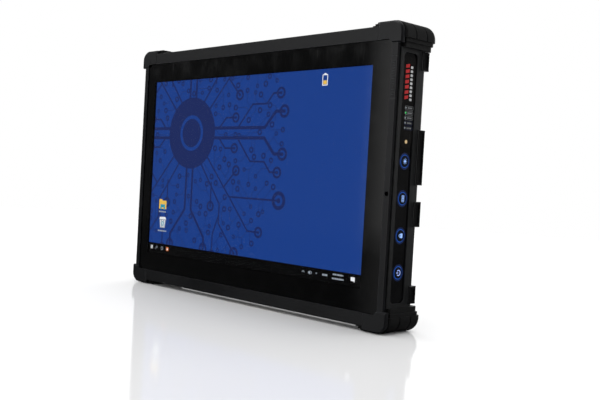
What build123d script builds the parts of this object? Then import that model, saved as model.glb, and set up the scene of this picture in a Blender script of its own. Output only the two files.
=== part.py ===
from build123d import *
import os

# Rugged ten-inch tablet used as a data collector in the field, standing on its long lower edge.
# Millimetres. X runs along the long side towards the button panel, Y from the screen towards the
# back, Z upwards. The origin is the middle of the bounding box at the surface it stands on.
# Depths are measured backwards from the outer face of the cover glass.

# ---------------------------------------------------------------- driving dimensions
overall_width = 257.5          # over the side faces of the rubber corners
overall_height = 187.0         # over the top and bottom of the rubber corners
rail_margin_x = 4.0            # front frame rail, in from the rubber corners
rail_margin_z = 3.0
side_margin = 3.25             # side faces of the housing, in from the rubber corners
pad_proud = 1.5                # raised corners of the front frame, in front of the glass
rail_proud = 0.8               # rails of the front frame, in front of the glass
back_depth = 26.2              # back face of the housing, behind the glass
foot_proud = 6.8               # rear faces of the rubber corners, behind the back face

# display
active_width = 217.0
active_height = 135.6
active_shift_x = -2.5          # the display sits a little away from the button panel
lcd_border = 6.5
lcd_t = 1.4
backlight_t = 3.3
gasket_t = 0.5
glass_margin = 4.5             # rail width beside the glass
glass_margin_z = 8.5           # rail width above and below the glass
glass_t = 1.8
glass_gap = 0.15               # glue line round the edge of the glass
glass_r = 3.0

# front frame
frame_r = 6.0
rail_back = 1.0                # rear edge of the visible rail
rail_round = 0.7
ledge = 2.2                    # shelf that carries the glass
plug_depth = 3.8               # rear edge of the skirt that enters the housing
pad_length = 19.0              # raised corners, along the long rails
pad_drop = 14.0                # raised corners, along the short rails
pad_margin = 1.0               # raised corners, in from the rubber corners
pad_margin_z = 0.6
pad_r = 7.0
pad_bevel = 1.0
notch_w = 0.6
notch_d = 0.35
rail_bars = 7                  # raised grip bars between the two notches
rail_bar_w = 1.5
rail_bar_h = 2.0
rail_bar_proud = 0.3
notches_up = (71.7, 46.7)      # heights marked "up" are above the middle of the tablet
mic_up = -9.5
mic_r = 1.5
mic_recess = 1.2
mic_t = 1.0

# housing
reveal = 0.8                   # dark gap between the front frame and the housing
housing_r = 7.0
housing_back_round = 1.5
wall = 2.5
shelf_front = 5.0
shelf_t = 2.0
shelf_w = 4.5
seal_gap = 0.3

# rubber corners
bumper_r = 9.0
bumper_seat = 1.2              # depth of the seat that the rubber sits in
rib_length = 22.0              # ribbed tier, along the long edges
rib_drop = 10.5                # ribbed tier, down the short edges
band_length = 27.0             # lower tier
band_drop = 16.0
band_inset = 1.6
band_front = 3.5
band_back_in = 2.5             # rear face of the lower tier, in from the feet
step_length = 24.5             # narrow step between the two tiers
step_drop = 12.8
rib_groove_depths = (11.3, 22.0)
groove_w = 0.9
groove_d = 0.7
bumper_back_round = 4.5
bumper_front_round = 0.8

# button panel on the right side
panel_mid_depth = 12.5
panel_width = 18.2
panel_t = 2.0
panel_r = 4.0
window_mid_depth = 11.45
window_width = 13.1
window_end = 2.55              # panel frame, beyond the ends of the window
window_t = 1.2
window_r = 3.0
panel_slot_end = 3.45          # window, beyond the ends of the slot
panel_slot_r = 2.0
button_depth = 12.0
panel_slot_margin = 0.4
button_names = ("display_button", "keyboard_button", "lock_button", "power_button")
button_top_up = 10.4
button_pitch = 22.33
button_r = 3.5
button_proud = 0.35
button_play = 0.05
button_travel = 0.4
flange_grip = 0.3              # flange, beyond the lit ring
flange_t = 0.8
ring_wall = 0.55
dome_r = 2.4
dome_t = 0.6
dome_gap = 0.05
keypad_t = 1.2
keypad_width = 9.2
keypad_length = 140.0
keypad_gap = 1.25              # room that a dome switch takes up
label_low_up = 18.0
label_high_up = 72.5
label_width = 12.1
label_t = 0.2
label_low_r = 5.5
label_high_r = 2.5
led_depth = 10.0
led_count = 5
led_top_up = 42.3
led_pitch = 3.0
led_r = 0.55
sensor_depth = 11.9
sensor_up = 22.1
sensor_r = 1.1
sensor_proud = 0.15

# chassis plate and electronics
chassis_t = 1.4
chassis_margin_x = 6.0         # inside the housing walls
chassis_margin_z = 1.0
boss_r = 3.0
boss_x = (40.0, 95.0)
boss_inset_z = 8.5             # screw line, in from the housing edge
board_width = 196.0
board_height = 66.0
board_clear = 8.0              # main board, above the battery pack
board_t = 1.4
board_gap = 2.6                # between chassis plate and board
board_hole_inset = 5.0
cpu_size = 24.0
cpu_t = 1.4
pad_t = 0.6
spreader_w = 70.0
spreader_h = 44.0
spreader_t = 3.0
spreader_r = 3.0
fin_slots = 9
fin_slot_w = 2.0
fin_margin = 3.0
memory_w = 67.6
memory_h = 30.0
storage_w = 22.0
storage_l = 42.0
module_t = 1.2
module_lift = 1.5
wireless_w = 22.0
wireless_l = 30.0
memory_x = -73.0               # middle of each module
storage_x = 53.0
wireless_x = 79.0

# battery
battery_w = 150.0
battery_h = 72.0
battery_low_z = 21.0
battery_front = 16.5
battery_proud = 2.6            # pack stands out of the back face
battery_gap = 0.4
battery_r = 4.0
tray_wall = 1.2
tray_flange = 4.0
tray_flange_t = 1.0
contact_count = 7
contact_pitch = 4.0
contact_w = 1.6
contact_reach = 3.0
contact_low = 6.0
contact_h = 3.0
battery_round = 1.2
pack_grooves = 5
pack_groove_pitch = 9.0
pack_groove_w = 1.6
pack_groove_d = 0.5
pack_groove_margin = 12.0
latch_x = 45.0
latch_w = 22.0
latch_h = 13.0
latch_t = 2.0
latch_r = 2.0
latch_lift = 4.0               # gap between the pack and the finger pad
latch_travel = 4.5
tongue_w = 12.0
tongue_bite = 3.0
tongue_t = 1.2
latch_stem = 5.0
latch_slack = 0.08
latch_clip = 8.0
latch_clip_t = 1.0
grip_count = 3
grip_pitch = 3.0
grip_margin = 3.0
grip_w = 1.2
grip_d = 0.6

# rear edge rails with the dock lugs
rail_t = 2.4
rail_inset = 4.5
rail_strip_w = 11.0
lug_reach = 3.9                # lugs, forwards from the back face
lug_rise = 2.8                 # lugs, behind the back face
lug_proud = 1.0
lug_depth_x = 4.0
lug_round = 0.9
lug_groove_w = 2.6             # shallow channel that leaves a ridge on both edges of a lug
lug_groove_d = 0.4
lug_groove_in = 2.0
lug_spans_up = ((-76.0, -65.0), (-29.0, -13.5), (-3.5, 30.0), (65.7, 77.0))
rail_screws_up = (-47.5, -8.5, 47.5)

# port door on the left side
door_low_up = -35.5
door_high_up = 58.5
door_front = 4.15
door_back = 20.4
door_recess = 2.0
door_t = 1.3
door_r = 1.5
door_skin = 0.1                # door face below the side face
door_edge_gap = 0.25
door_hinge_depth = 5.6
door_hinge_in = 1.05
door_barrel_r = 0.95
door_pin_r = 0.4
door_pin_play = 0.05
door_plate_gap = 1.2
knuckle_l = 10.0
ear_l = 4.0
knuckle_play = 0.1
knuckles_up = (-18.5, 41.5)
door_seal_w = 1.4
door_seal_inset = 0.8
finger_notch_l = 12.0
finger_notch_w = 1.8

# ports behind the door
port_depth = 12.6
port_in = 2.6                  # face of the ports, in from the side face
usb_l = 13.2
usb_w = 5.8
usb_d = 14.0
usb_shell = 0.4
usb_tongue_t = 1.8
usb_up = (-11.5, 6.5)
hdmi_l = 15.0
hdmi_w = 5.6
hdmi_d = 11.0
hdmi_tongue_t = 1.0
shell_r = 0.6
tongue_in = 1.2                # tongue and foot, in from both ends of a socket
port_r = 0.8
hdmi_up = 26.5
jack_r = 4.0
jack_hole_r = 2.75
jack_pin_r = 0.9
jack_d = 12.0
jack_up = 44.0
io_board_t = 1.2
io_board_w = 17.0
io_margin = 4.0
port_slack = 0.2

# docking connector in the lower edge
dock_w = 64.0
dock_l = 11.0
dock_depth = 15.0
dock_h = 6.0
dock_in = 0.6
dock_flange = 3.0
dock_count = 15
dock_pitch = 3.8
dock_pin_w = 1.4
dock_pin_l = 3.0
dock_pin_h = 1.2
dock_row_gap = 4.6

# camera, flash, speakers, antennas
camera_x = 70.0
camera_down = 26.0             # below the top of the housing
camera_r = 6.5
camera_window_t = 1.2
camera_ledge = 1.2
camera_body = 9.0
camera_body_t = 5.0
lens_r = 3.0
lens_l = 1.0
flash_offset = 13.0
flash_r = 2.6
speaker_x = 97.0
speaker_rise = 59.0            # above the bottom of the housing
speaker_w = 24.0
speaker_h = 16.0
speaker_t = 4.0
slot_count = 5
slot_pitch = 2.9
slot_w = 1.3
slot_l = 17.0
antenna_w = 42.0
antenna_h = 7.0
antenna_t = 1.0
antenna_x = 67.5

# fasteners
screw_head_r = 2.6
screw_head_h = 1.5
screw_shank_r = 1.4
screw_grip = 7.0
socket_r = 1.1
socket_d = 0.8
insert_r = 2.6
insert_bore_r = 1.65
insert_lead_r = 2.1            # hole in the wall in front of each insert
insert_l = 2.3
strap_x = 88.0
strap_up = 60.0
board_screw_r = 1.1
board_screw_head_r = 2.2
board_screw_head_h = 1.2

# shared small values
overshoot = 1.0                # cutters reach this far past a surface
card_r = 1.0                   # corners of flat cards, pads and modules
wall_t = 1.0                   # closed ends of sockets

# ---------------------------------------------------------------- derived places
tiny = 0.001                   # tolerance used only to pick edges
mid_z = overall_height / 2
foot_depth = back_depth + foot_proud
band_back = foot_depth - band_back_in
glass_y = -(pad_proud + foot_depth) / 2 + pad_proud
rail_w = overall_width - 2 * rail_margin_x
rail_h = overall_height - 2 * rail_margin_z
side_x = overall_width / 2 - side_margin
housing_w = 2 * side_x
housing_h = rail_h
glass_w = rail_w - 2 * glass_margin
glass_h = rail_h - 2 * glass_margin_z
housing_front = rail_back + reveal
inner_w = housing_w - 2 * wall
inner_h = housing_h - 2 * wall
plug_w = inner_w - 2 * seal_gap
plug_h = inner_h - 2 * seal_gap
lcd_front = glass_t + gasket_t
chassis_front = lcd_front + lcd_t + backlight_t
chassis_back = chassis_front + chassis_t
back_wall_front = back_depth - wall
bottom_z = rail_margin_z
top_z = overall_height - rail_margin_z
panel_floor_x = side_x - panel_t
window_face_x = panel_floor_x + window_t
panel_length = overall_height - 2 * band_drop
window_length = panel_length - 2 * window_end
panel_slot_length = window_length - 2 * panel_slot_end
ring_r = button_r + button_play + ring_wall
flange_r = ring_r + flange_grip
panel_slot_width = 2 * (flange_r + panel_slot_margin)
label_face_x = window_face_x + label_t
flange_back_x = panel_floor_x - flange_t
keypad_face_x = flange_back_x - button_travel - keypad_gap
battery_high_z = battery_low_z + battery_h
battery_mid_z = battery_low_z + battery_h / 2
battery_back = back_depth + battery_proud
board_front = chassis_back + board_gap
board_back = board_front + board_t
board_low_z = battery_high_z + board_clear
board_mid_z = board_low_z + board_height / 2
mic_x = (glass_w + rail_w) / 4
mic_z = mid_z + mic_up
notch_heights = [mid_z + up for up in notches_up]
button_top_z = mid_z + button_top_up
button_heights = [button_top_z - i * button_pitch for i in range(len(button_names))]
boss_heights = (bottom_z + boss_inset_z, top_z - boss_inset_z)
boss_spots = [(s * x, z) for x in boss_x for s in (-1, 1) for z in boss_heights]
bumper_screw_x = overall_width / 2 - rib_length / 2
bumper_screw_z = overall_height - rib_drop / 2 - bumper_seat
rail_mid_x = side_x - rail_inset - rail_strip_w / 2
label_low_z = mid_z + label_low_up
label_high_z = mid_z + label_high_up
led_top_z = mid_z + led_top_up
sensor_z = mid_z + sensor_up
lug_front = back_depth - lug_reach
lug_back = back_depth + lug_rise
lug_spans = [(mid_z + low, mid_z + high) for low, high in lug_spans_up]
rail_screw_heights = [mid_z + up for up in rail_screws_up]
door_low_z = mid_z + door_low_up
door_high_z = mid_z + door_high_up
knuckle_centres = [mid_z + up for up in knuckles_up]
usb_centres = [mid_z + up for up in usb_up]
hdmi_z = mid_z + hdmi_up
jack_z = mid_z + jack_up
camera_z = top_z - camera_down
speaker_z = bottom_z + speaker_rise


# ---------------------------------------------------------------- helpers
def y_at(depth):
    """Y of a plane that lies this far behind the outer face of the glass."""
    return glass_y + depth


def block(x0, x1, d0, d1, z0, z1):
    """Box between two X values, two depths and two heights."""
    middle = Pos((x0 + x1) / 2, y_at((d0 + d1) / 2), (z0 + z1) / 2)
    return middle * Box(x1 - x0, d1 - d0, z1 - z0)


def slab(width, height, radius, d0, d1, x=0.0, z=mid_z):
    """Rounded rectangle seen from the front, between two depths."""
    outline = RectangleRounded(width, height, radius)
    return Pos(x, y_at(d1), z) * Rot(90, 0, 0) * extrude(outline, d1 - d0)


def side_slab(length, width, radius, x0, x1, depth, z):
    """Rounded rectangle seen from the side, between two X values; length runs up Z."""
    outline = RectangleRounded(length, width, radius)
    return Pos(x0, y_at(depth), z) * Rot(0, 90, 0) * extrude(outline, x1 - x0)


def rod_x(radius, x0, x1, depth, z):
    """Round bar along X."""
    bar = Cylinder(radius, x1 - x0, align=(Align.CENTER, Align.CENTER, Align.MIN))
    return Pos(x0, y_at(depth), z) * Rot(0, 90, 0) * bar


def rod_y(radius, d0, d1, x, z):
    """Round bar along Y, between two depths."""
    bar = Cylinder(radius, d1 - d0, align=(Align.CENTER, Align.CENTER, Align.MIN))
    return Pos(x, y_at(d1), z) * Rot(90, 0, 0) * bar


def rod_z(radius, z0, z1, x, depth):
    """Round bar along Z."""
    bar = Cylinder(radius, z1 - z0, align=(Align.CENTER, Align.CENTER, Align.MIN))
    return Pos(x, y_at(depth), z0) * bar


def face_edges(solid, depth):
    """Edges that lie in the plane at one depth."""
    level = y_at(depth)
    return solid.edges().filter_by_position(Axis.Y, level - tiny, level + tiny)


def flip_x(solid):
    """Mirror image on the other side of the tablet."""
    return mirror(solid, about=Plane.YZ)


def flip_z(solid):
    """Mirror image at the other long edge."""
    return mirror(solid, about=Plane.XY.offset(mid_z))


def in_corners(solid, length, drop):
    """The four corner stretches of a slab, measured in from the rubber corners."""
    corner = block(overall_width / 2 - length, overall_width, -foot_depth, 2 * foot_depth,
                   overall_height - drop, 2 * overall_height)
    corners = [corner, flip_x(corner), flip_z(corner), flip_z(flip_x(corner))]
    return [solid & zone for zone in corners]


def group(solids):
    """Separate solids that share one node."""
    return Compound(children=[piece for solid in solids for piece in solid.solids()])


def save(name, shape):
    """Write one node."""
    export_step(shape, "parts/" + name + ".step")


# ---------------------------------------------------------------- front assembly
def make_front_frame():
    rail = slab(rail_w, rail_h, frame_r, -rail_proud, rail_back)
    rail = fillet(face_edges(rail, -rail_proud), rail_round)
    pad_w = overall_width - 2 * pad_margin
    pad_h = overall_height - 2 * pad_margin_z
    pads = in_corners(slab(pad_w, pad_h, pad_r, -pad_proud, rail_back), pad_length, pad_drop)
    for pad in pads:
        rail += chamfer(face_edges(pad, -pad_proud), pad_bevel)
    frame = rail + slab(plug_w, plug_h, frame_r, rail_back, plug_depth)
    pocket_w = glass_w + 2 * glass_gap
    pocket_h = glass_h + 2 * glass_gap
    frame -= slab(pocket_w, pocket_h, glass_r, -2 * pad_proud, glass_t)
    frame -= slab(pocket_w - 2 * ledge, pocket_h - 2 * ledge, glass_r, 0, 2 * plug_depth)
    for z in notch_heights:
        frame -= block(glass_w / 2, overall_width, -2 * pad_proud, notch_d - rail_proud,
                       z - notch_w / 2, z + notch_w / 2)
    bar_pitch = (notch_heights[0] - notch_heights[1]) / (rail_bars + 1)
    for i in range(rail_bars):
        z = notch_heights[1] + (i + 1) * bar_pitch
        frame += block(mic_x - rail_bar_h / 2, mic_x + rail_bar_h / 2,
                       -rail_proud - rail_bar_proud, rail_back, z - rail_bar_w / 2,
                       z + rail_bar_w / 2)
    return frame - rod_y(mic_r, -2 * pad_proud, plug_depth, mic_x, mic_z)


def make_microphone():
    return rod_y(mic_r, mic_recess - rail_proud, mic_recess - rail_proud + mic_t, mic_x, mic_z)


def make_touch_glass():
    return slab(glass_w, glass_h, glass_r - glass_gap, 0, glass_t)


def make_display_gasket():
    outer_w = glass_w + 2 * (glass_gap - ledge)
    outer_h = glass_h + 2 * (glass_gap - ledge)
    ring = slab(outer_w, outer_h, glass_r, glass_t, lcd_front)
    return ring - block(active_shift_x - active_width / 2, active_shift_x + active_width / 2,
                        0, plug_depth, mid_z - active_height / 2, mid_z + active_height / 2)


def make_lcd_panel():
    return slab(active_width + 2 * lcd_border, active_height + 2 * lcd_border, lcd_t,
                lcd_front, lcd_front + lcd_t, x=active_shift_x)


def make_backlight_tray():
    return slab(active_width + 2 * lcd_border, active_height + 2 * lcd_border, lcd_t,
                lcd_front + lcd_t, chassis_front, x=active_shift_x)


def make_housing_seal():
    ring = slab(plug_w, plug_h, frame_r, plug_depth, shelf_front)
    return ring - slab(inner_w - 2 * shelf_w, inner_h - 2 * shelf_w, frame_r, 0, 2 * shelf_front)


# ---------------------------------------------------------------- chassis and electronics
def make_chassis():
    width = inner_w - 2 * chassis_margin_x
    height = inner_h - 2 * chassis_margin_z
    plate = slab(width, height, frame_r, chassis_front, chassis_back)
    for x, z in boss_spots:
        plate += rod_y(boss_r, chassis_back, back_wall_front, x, z)
        plate -= rod_y(screw_shank_r, back_depth - screw_head_h - screw_grip, back_depth, x, z)
    for x, z in board_screw_spots():
        plate += rod_y(boss_r, chassis_back, board_front, x, z)
        plate -= rod_y(board_screw_r, chassis_back, board_front, x, z)
    return plate


def board_screw_spots():
    reach = board_width / 2 - board_hole_inset
    heights = (board_low_z + board_hole_inset, board_low_z + board_height - board_hole_inset)
    return [(s * reach, z) for s in (-1, 1) for z in heights]


def make_main_board():
    board = block(-board_width / 2, board_width / 2, board_front, board_back,
                  board_low_z, board_low_z + board_height)
    for x, z in board_screw_spots():
        board -= rod_y(board_screw_r, board_front, board_back, x, z)
    return board


def make_board_screws():
    head_back = board_back + board_screw_head_h
    screws = []
    for x, z in board_screw_spots():
        shank = rod_y(board_screw_r, chassis_back, board_back, x, z)
        screws.append(shank + rod_y(board_screw_head_r, board_back, head_back, x, z))
    return group(screws)


def make_processor():
    return slab(cpu_size, cpu_size, card_r, board_back, board_back + cpu_t, z=board_mid_z)


def make_thermal_pad():
    d0 = board_back + cpu_t
    return slab(cpu_size, cpu_size, card_r, d0, d0 + pad_t, z=board_mid_z)


def make_heat_spreader():
    d0 = board_back + cpu_t + pad_t
    plate = slab(spreader_w, spreader_h, spreader_r, d0, d0 + spreader_t, z=board_mid_z)
    fin_pitch = spreader_w / (fin_slots + 1)
    reach = spreader_h / 2 - fin_margin
    for i in range(fin_slots):
        x = (i - (fin_slots - 1) / 2) * fin_pitch
        plate -= block(x - fin_slot_w / 2, x + fin_slot_w / 2, d0 + spreader_t / 2,
                       d0 + 2 * spreader_t, board_mid_z - reach, board_mid_z + reach)
    return plate


def make_module(width, height, x):
    """Card on two low connector blocks."""
    d1 = board_back + module_lift
    card = block(x - width / 2, x + width / 2, d1, d1 + module_t,
                 board_mid_z - height / 2, board_mid_z + height / 2)
    for s in (-1, 1):
        z = board_mid_z + s * (height / 2 - 2)
        card += block(x - width / 2, x + width / 2, board_back, d1, z - 2, z + 2)
    return card


def make_antennas():
    d1 = back_wall_front
    strips = []
    for s in (-1, 1):
        strips.append(slab(antenna_w, antenna_h, card_r, d1 - antenna_t, d1, x=s * antenna_x,
                           z=top_z - wall - antenna_h))
    return group(strips)


# ---------------------------------------------------------------- rear housing
def bumper_seats():
    """Volume between the housing outline and the seats of the rubber corners."""
    outer = slab(2 * overall_width, 2 * overall_height, housing_r, housing_front, back_depth)
    outer -= slab(housing_w - 2 * bumper_seat, housing_h - 2 * bumper_seat, housing_r,
                  housing_front, back_depth)
    return in_corners(outer, band_length, band_drop)


def make_rear_housing():
    shell = slab(housing_w, housing_h, housing_r, housing_front, back_depth)
    shell = fillet(face_edges(shell, back_depth), housing_back_round)
    shell -= slab(inner_w, inner_h, frame_r, 0, back_wall_front)
    shelf = slab(inner_w, inner_h, frame_r, shelf_front, shelf_front + shelf_t)
    shelf -= slab(inner_w - 2 * shelf_w, inner_h - 2 * shelf_w, frame_r, 0, 2 * shelf_front)
    shell += shelf
    for seat in bumper_seats():
        shell -= seat
    shell -= panel_opening()
    shell -= door_opening()
    for z in knuckle_centres:
        for ear in hinge_ears(z):
            shell += ear
    shell -= port_openings()
    shell -= dock_opening()
    shell -= battery_opening()
    for s in (-1, 1):
        shell -= latch_opening(s * latch_x)
        shell -= speaker_slots(s * speaker_x)
        shell -= rail_seat(s)
        shell -= rail_screw_holes(s)
    shell -= camera_openings()
    shell -= housing_screw_holes()
    shell -= bumper_screw_holes()
    return shell - insert_holes()


def panel_opening():
    recess = side_slab(panel_length, panel_width, panel_r, panel_floor_x, overall_width,
                       panel_mid_depth, mid_z)
    slot = side_slab(panel_slot_length, panel_slot_width, panel_slot_r, side_x - 2 * wall,
                     overall_width, button_depth, mid_z)
    return recess + slot


def housing_screw_holes():
    holes = Part()
    for x, z in boss_spots:
        holes += rod_y(screw_shank_r, back_wall_front, back_depth, x, z)
        holes += rod_y(screw_head_r, back_depth - screw_head_h, back_depth, x, z)
    return holes


def make_screw(x, z, head_d, grip):
    """Cap screw seen from the back, with its drive socket."""
    screw = rod_y(screw_shank_r, head_d - screw_head_h - grip, head_d - screw_head_h, x, z)
    screw += rod_y(screw_head_r, head_d - screw_head_h, head_d, x, z)
    socket = RegularPolygon(socket_r, 6)
    drive = Pos(x, y_at(head_d), z) * Rot(90, 0, 0) * extrude(socket, socket_d)
    return screw - drive


def make_housing_screws():
    return group([make_screw(x, z, back_depth, screw_grip) for x, z in boss_spots])


def insert_spots():
    return [(s * strap_x, mid_z + t * strap_up) for s in (-1, 1) for t in (-1, 1)]


def insert_holes():
    holes = Part()
    for x, z in insert_spots():
        holes += rod_y(insert_r, back_depth - insert_l, back_depth, x, z)
        holes += rod_y(insert_lead_r, back_wall_front - overshoot, back_depth, x, z)
    return holes


def make_strap_inserts():
    inserts = []
    for x, z in insert_spots():
        sleeve = rod_y(insert_r, back_depth - insert_l, back_depth, x, z)
        inserts.append(sleeve - rod_y(insert_bore_r, 0, 2 * back_depth, x, z))
    return group(inserts)


# ---------------------------------------------------------------- rubber corners
def make_bumpers():
    """One rubber corner for each corner, in the order of in_corners."""
    tier = slab(overall_width, overall_height, bumper_r, housing_front, foot_depth)
    tier = fillet(face_edges(tier, foot_depth), bumper_back_round)
    tier = fillet(face_edges(tier, housing_front), bumper_front_round)
    for depth in rib_groove_depths:
        d0 = depth - groove_w / 2
        d1 = depth + groove_w / 2
        ring = slab(2 * overall_width, 2 * overall_height, bumper_r, d0, d1)
        ring -= slab(overall_width - 2 * groove_d, overall_height - 2 * groove_d, bumper_r, d0, d1)
        tier -= ring
    band = slab(overall_width - 2 * band_inset, overall_height - 2 * band_inset, bumper_r,
                band_front, band_back)
    band = fillet(face_edges(band, band_back), bumper_back_round - band_inset)
    step_back = (band_back + foot_depth) / 2
    step = slab(overall_width - band_inset, overall_height - band_inset, bumper_r,
                (housing_front + band_front) / 2, step_back)
    step = fillet(face_edges(step, step_back), bumper_back_round - band_inset / 2)
    seat = slab(housing_w - 2 * bumper_seat, housing_h - 2 * bumper_seat, housing_r,
                0, back_depth)
    ribs = in_corners(tier, rib_length, rib_drop)
    steps = in_corners(step, step_length, step_drop)
    bands = in_corners(band, band_length, band_drop)
    bumpers = [rib + middle + low - seat for rib, middle, low in zip(ribs, steps, bands)]
    holes = bumper_screw_holes(foot_depth)
    return [bumper - holes for bumper in bumpers]


def bumper_screw_spots():
    return [(s * bumper_screw_x, mid_z + t * (bumper_screw_z - mid_z))
            for s in (-1, 1) for t in (-1, 1)]


def bumper_screw_holes(outside=back_depth):
    holes = Part()
    for x, z in bumper_screw_spots():
        holes += rod_y(screw_shank_r, back_wall_front - overshoot, outside, x, z)
        if outside > back_depth:
            holes += rod_y(screw_head_r, outside - 2 * screw_head_h, outside, x, z)
    return holes


def make_bumper_screws():
    head_d = foot_depth - screw_head_h
    grip = head_d - screw_head_h - back_wall_front
    return group([make_screw(x, z, head_d, grip) for x, z in bumper_screw_spots()])


# ---------------------------------------------------------------- button panel
def make_panel_frame():
    ring = side_slab(panel_length, panel_width, panel_r, panel_floor_x, side_x,
                     panel_mid_depth, mid_z)
    return ring - side_slab(window_length, window_width, window_r, 0, overall_width,
                            window_mid_depth, mid_z)


def panel_lights():
    """Bores for the status lights and the light sensor."""
    holes = rod_x(sensor_r, 0, overall_width, sensor_depth, sensor_z)
    for i in range(led_count):
        holes += rod_x(led_r, 0, overall_width, led_depth, led_top_z - i * led_pitch)
    return holes


def make_panel_window():
    window = side_slab(window_length, window_width, window_r, panel_floor_x, window_face_x,
                       window_mid_depth, mid_z)
    for z in button_heights:
        window -= rod_x(ring_r, 0, overall_width, button_depth, z)
    return window - panel_lights()


def make_status_label():
    half = (label_high_z - label_low_z) / 2
    upper = side_slab(half + label_low_r, label_width, label_high_r, window_face_x,
                      label_face_x, window_mid_depth, label_high_z - (half + label_low_r) / 2)
    lower = side_slab(half + label_low_r, label_width, label_low_r, window_face_x,
                      label_face_x, window_mid_depth, label_low_z + (half + label_low_r) / 2)
    return upper + lower - panel_lights()


def make_light_rings():
    rings = []
    for z in button_heights:
        ring = rod_x(ring_r, panel_floor_x, window_face_x, button_depth, z)
        rings.append(ring - rod_x(button_r + button_play, 0, overall_width, button_depth, z))
    return group(rings)


def make_button(z):
    """Round key cap with the flange that keeps it behind the window."""
    face_x = window_face_x + button_proud
    cap = rod_x(button_r, panel_floor_x, face_x, button_depth, z)
    rim = cap.edges().filter_by_position(Axis.X, face_x - tiny, face_x + tiny)
    cap = fillet(rim, button_proud / 2)
    return cap + rod_x(flange_r, flange_back_x, panel_floor_x, button_depth, z)


def make_status_lights():
    return group([rod_x(led_r, keypad_face_x, label_face_x, led_depth, led_top_z - i * led_pitch)
                  for i in range(led_count)])


def make_light_sensor():
    return rod_x(sensor_r, keypad_face_x, label_face_x + sensor_proud, sensor_depth, sensor_z)


def make_keypad_board():
    return side_slab(keypad_length, keypad_width, card_r, keypad_face_x - keypad_t, keypad_face_x,
                     button_depth, mid_z)


def make_dome_switches():
    domes = []
    crown_x = flange_back_x - button_travel - dome_gap
    for z in button_heights:
        base = rod_x(dome_r, keypad_face_x, keypad_face_x + dome_t, button_depth, z)
        domes.append(base + rod_x(dome_r / 2, keypad_face_x, crown_x, button_depth, z))
    return group(domes)


# ---------------------------------------------------------------- battery and latches
def battery_opening():
    return slab(battery_w + 2 * battery_gap, battery_h + 2 * battery_gap, battery_r,
                battery_front - tray_wall - overshoot, back_depth + overshoot,
                z=battery_mid_z)


def make_battery_tray():
    inner = slab(battery_w + 2 * battery_gap, battery_h + 2 * battery_gap, battery_r,
                 battery_front, back_depth, z=battery_mid_z)
    skirt_w = battery_w + 2 * (battery_gap + tray_wall)
    skirt_h = battery_h + 2 * (battery_gap + tray_wall)
    tray = slab(skirt_w, skirt_h, battery_r, battery_front - tray_wall, back_wall_front,
                z=battery_mid_z)
    tray += slab(skirt_w + 2 * tray_flange, skirt_h + 2 * tray_flange, battery_r,
                 back_wall_front - tray_flange_t, back_wall_front, z=battery_mid_z)
    tray -= inner
    for x, z in boss_spots:
        tray -= rod_y(boss_r + battery_gap, 0, back_depth, x, z)
    return tray


def make_battery_pack():
    pack = slab(battery_w, battery_h, battery_r - battery_gap, battery_front, battery_back,
                z=battery_mid_z)
    pack = fillet(face_edges(pack, battery_back), battery_round)
    for s in (-1, 1):
        pack -= tongue_space(s * latch_x)
    reach = battery_w / 2 - pack_groove_margin
    for i in range(pack_grooves):
        z = battery_mid_z + (i - (pack_grooves - 1) / 2) * pack_groove_pitch
        pack -= block(-reach, reach, battery_back - pack_groove_d, battery_back + overshoot,
                      z - pack_groove_w / 2, z + pack_groove_w / 2)
    return pack


def make_battery_contacts():
    pins = []
    d1 = battery_front - tray_wall
    for i in range(contact_count):
        x = (i - (contact_count - 1) / 2) * contact_pitch
        pins.append(block(x - contact_w / 2, x + contact_w / 2, d1 - contact_reach, d1,
                          battery_low_z + contact_low, battery_low_z + contact_low + contact_h))
    return group(pins)


def tongue_space(x):
    """Notch in the top edge of the pack that a latch tongue drops into."""
    half = tongue_w / 2 + battery_gap
    return block(x - half, x + half, back_depth - battery_gap, battery_back + overshoot,
                 battery_high_z - tongue_bite - battery_gap, battery_high_z + overshoot)


def latch_low_z():
    return battery_high_z + battery_gap + latch_lift


def latch_opening(x):
    """Slot in the back wall that the stem of a latch slides in."""
    z = latch_low_z() + latch_h / 2
    half = latch_stem / 2 + latch_slack
    return block(x - half, x + half, back_wall_front - overshoot, back_depth + overshoot,
                 z - half, z + half + latch_travel)


def make_latch(x):
    """Sliding latch: finger pad, tongue over the pack, stem and inner clip."""
    z0 = latch_low_z()
    z = z0 + latch_h / 2
    face = back_depth + latch_slack
    pad = slab(latch_w, latch_h, latch_r, face, face + latch_t, x=x, z=z)
    reach = latch_w / 2 - grip_margin
    for i in range(grip_count):
        height = z + (i - (grip_count - 1) / 2) * grip_pitch
        pad -= block(x - reach, x + reach, face + latch_t - grip_d, face + latch_t + overshoot,
                     height - grip_w / 2, height + grip_w / 2)
    pad += block(x - tongue_w / 2, x + tongue_w / 2, face, face + tongue_t,
                 battery_high_z - tongue_bite, z0 + 2)
    pad += block(x - latch_stem / 2, x + latch_stem / 2, back_wall_front - latch_slack, face,
                 z - latch_stem / 2, z + latch_stem / 2)
    clip_back = back_wall_front - latch_slack
    return pad + slab(latch_clip, latch_clip, card_r, clip_back - latch_clip_t, clip_back, x=x, z=z)


# ---------------------------------------------------------------- rear edge rails
def make_lug(span, grow=0.0):
    """One dock lug on the right rear edge."""
    x1 = side_x + lug_proud
    return block(side_x - lug_depth_x, x1 + grow, lug_front, lug_back + grow, span[0], span[1])


def rail_seat(side):
    """Pockets for the lugs in the rear edge of the housing."""
    seats = Part()
    for span in lug_spans:
        seats += make_lug(span, grow=lug_proud)
    return seats if side > 0 else flip_x(seats)


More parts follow.
